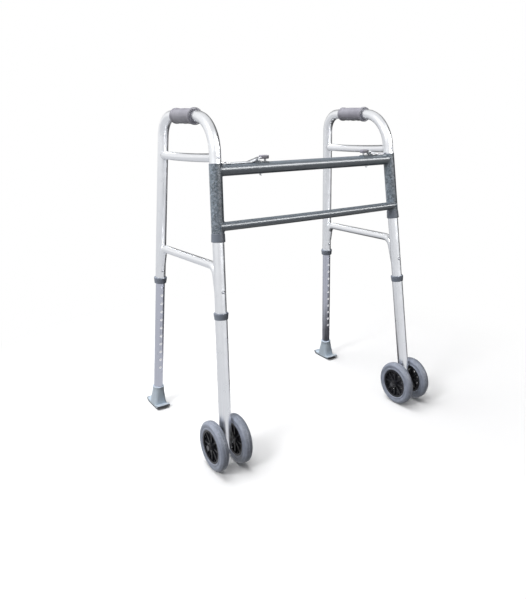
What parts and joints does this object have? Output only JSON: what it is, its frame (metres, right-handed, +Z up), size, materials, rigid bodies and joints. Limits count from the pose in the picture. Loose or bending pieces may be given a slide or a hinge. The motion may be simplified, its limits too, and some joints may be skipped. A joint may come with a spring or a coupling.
{
  "type": "walking frame",
  "caption": "Extra-wide folding walking frame: two hinged aluminium side frames on a steel front frame, with release levers, telescoping legs, twin front wheels and rear glides.",
  "frame": {"origin": "on the floor in the middle of the footprint", "axes": "+X across the frame (right seen from the front), +Y rearwards to the user, +Z up"},
  "size_m": [0.7294, 0.5178, 0.8825],
  "materials": {
    "anodised_tube": "satin clear anodised",
    "hammertone_paint": "hammertone powder coat on steel tube",
    "grip_vinyl": "matte moulded vinyl",
    "liner_nylon": "natural white nylon",
    "collar_plastic": "matte moulded",
    "plated_steel": "bright zinc plate",
    "spring_steel": "bare spring steel",
    "lever_steel": "plated strip",
    "bracket_paint": "hammertone powder coat",
    "pad_plastic": "matte moulded",
    "hub_plastic": "black moulded",
    "tyre_rubber": "grey non-marking, matte",
    "glide_plastic": "pale blue-grey moulded",
    "sole_rubber": "dark wear sole"
  },
  "bodies": {
    "front_frame": {"upper_crossbar": "hammertone_paint", "lower_crossbar": "hammertone_paint", "sleeve_left": "hammertone_paint", "sleeve_right": "hammertone_paint", "sleeve_bushings": "collar_plastic", "lever_brackets": "bracket_paint", "lever_fixings": "plated_steel", "lever_springs": "spring_steel"},
    "left_side_frame": {"side_tube_left": "anodised_tube", "tube_rivets_left": "plated_steel", "upper_brace_left": "anodised_tube", "lower_brace_left": "anodised_tube", "thrust_collar_left": "collar_plastic", "leg_collars_left": "collar_plastic", "hand_grip_left": "grip_vinyl", "snap_clip_front_left": "spring_steel", "snap_clip_rear_left": "spring_steel"},
    "left_release_lever": {"release_lever_left": "lever_steel", "lever_pad_left": "pad_plastic"},
    "left_front_button": {"snap_button_front_left": "plated_steel"},
    "left_rear_button": {"snap_button_rear_left": "plated_steel"},
    "left_front_leg": {"wheel_stem_left": "anodised_tube", "axle_bolt_left": "plated_steel", "axle_nut_left": "plated_steel", "axle_washers_left": "plated_steel", "axle_spacers_left": "plated_steel"},
    "left_rear_leg": {"rear_leg_extension_left": "anodised_tube", "leg_liner_left": "liner_nylon", "glide_foot_left": "glide_plastic", "glide_sole_left": "sole_rubber"},
    "left_outer_wheel": {"outer_wheel_hub_left": "hub_plastic", "outer_tyre_left": "tyre_rubber"},
    "left_inner_wheel": {"inner_wheel_hub_left": "hub_plastic", "inner_tyre_left": "tyre_rubber"},
    "right_side_frame": {"side_tube_right": "anodised_tube", "tube_rivets_right": "plated_steel", "upper_brace_right": "anodised_tube", "lower_brace_right": "anodised_tube", "thrust_collar_right": "collar_plastic", "leg_collars_right": "collar_plastic", "hand_grip_right": "grip_vinyl", "snap_clip_front_right": "spring_steel", "snap_clip_rear_right": "spring_steel"},
    "right_release_lever": {"release_lever_right": "lever_steel", "lever_pad_right": "pad_plastic"},
    "right_front_button": {"snap_button_front_right": "plated_steel"},
    "right_rear_button": {"snap_button_rear_right": "plated_steel"},
    "right_front_leg": {"wheel_stem_right": "anodised_tube", "axle_bolt_right": "plated_steel", "axle_nut_right": "plated_steel", "axle_washers_right": "plated_steel", "axle_spacers_right": "plated_steel"},
    "right_rear_leg": {"rear_leg_extension_right": "anodised_tube", "leg_liner_right": "liner_nylon", "glide_foot_right": "glide_plastic", "glide_sole_right": "sole_rubber"},
    "right_outer_wheel": {"outer_wheel_hub_right": "hub_plastic", "outer_tyre_right": "tyre_rubber"},
    "right_inner_wheel": {"inner_wheel_hub_right": "hub_plastic", "inner_tyre_right": "tyre_rubber"}
  },
  "joints": [
    {"name": "left_fold", "type": "hinge", "parent": "front_frame", "child": "left_side_frame", "pos_m": [-0.28, -0.12727, 0.736], "axis": [-0.0486, -0.1006, -0.9937], "range_deg": [0, 80]},
    {"name": "left_lever_press", "type": "hinge", "parent": "front_frame", "child": "left_release_lever", "pos_m": [-0.165, -0.12727, 0.757], "axis": [0, -1, 0], "range_deg": [-4, 0], "stiffness_Nm_per_rad": 0.4, "springref_deg": 5.73, "deforming": ["lever_springs"]},
    {"name": "left_front_leg_slide", "type": "slide", "parent": "left_side_frame", "child": "left_front_leg", "axis": [-0.0486, -0.1006, -0.9937], "range_m": [0, 0.1524]},
    {"name": "left_front_button_press", "type": "slide", "parent": "left_side_frame", "child": "left_front_button", "axis": [-0.0312, 0.9946, -0.0992], "range_m": [0, 0.0069], "deforming": ["snap_clip_front_left"]},
    {"name": "left_rear_leg_slide", "type": "slide", "parent": "left_side_frame", "child": "left_rear_leg", "axis": [-0.0531, 0.0648, -0.9965], "range_m": [-0.0508, 0.1016]},
    {"name": "left_rear_button_press", "type": "slide", "parent": "left_side_frame", "child": "left_rear_button", "axis": [-0.0227, 0.9976, 0.0661], "range_m": [0, 0.0069], "deforming": ["snap_clip_rear_left"]},
    {"name": "left_outer_wheel_spin", "type": "hinge", "parent": "left_front_leg", "child": "left_outer_wheel", "pos_m": [-0.31288, -0.19536, 0.0635], "axis": [1, 0, 0], "continuous": true},
    {"name": "left_inner_wheel_spin", "type": "hinge", "parent": "left_front_leg", "child": "left_inner_wheel", "pos_m": [-0.31288, -0.19536, 0.0635], "axis": [1, 0, 0], "continuous": true},
    {"name": "right_fold", "type": "hinge", "parent": "front_frame", "child": "right_side_frame", "pos_m": [0.28, -0.12727, 0.736], "axis": [-0.0486, 0.1006, 0.9937], "range_deg": [0, 66]},
    {"name": "right_lever_press", "type": "hinge", "parent": "front_frame", "child": "right_release_lever", "pos_m": [0.206, -0.12727, 0.757], "axis": [0, 1, 0], "range_deg": [-6, 0], "stiffness_Nm_per_rad": 0.4, "springref_deg": 5.73, "deforming": ["lever_springs"]},
    {"name": "right_front_leg_slide", "type": "slide", "parent": "right_side_frame", "child": "right_front_leg", "axis": [0.0486, -0.1006, -0.9937], "range_m": [0, 0.1524]},
    {"name": "right_front_button_press", "type": "slide", "parent": "right_side_frame", "child": "right_front_button", "axis": [0.0312, 0.9946, -0.0992], "range_m": [0, 0.0069], "deforming": ["snap_clip_front_right"]},
    {"name": "right_rear_leg_slide", "type": "slide", "parent": "right_side_frame", "child": "right_rear_leg", "axis": [0.0531, 0.0648, -0.9965], "range_m": [-0.0508, 0.1016]},
    {"name": "right_rear_button_press", "type": "slide", "parent": "right_side_frame", "child": "right_rear_button", "axis": [0.0227, 0.9976, 0.0661], "range_m": [0, 0.0069], "deforming": ["snap_clip_rear_right"]},
    {"name": "right_outer_wheel_spin", "type": "hinge", "parent": "right_front_leg", "child": "right_outer_wheel", "pos_m": [0.31288, -0.19536, 0.0635], "axis": [1, 0, 0], "continuous": true},
    {"name": "right_inner_wheel_spin", "type": "hinge", "parent": "right_front_leg", "child": "right_inner_wheel", "pos_m": [0.31288, -0.19536, 0.0635], "axis": [1, 0, 0], "continuous": true}
  ]
}
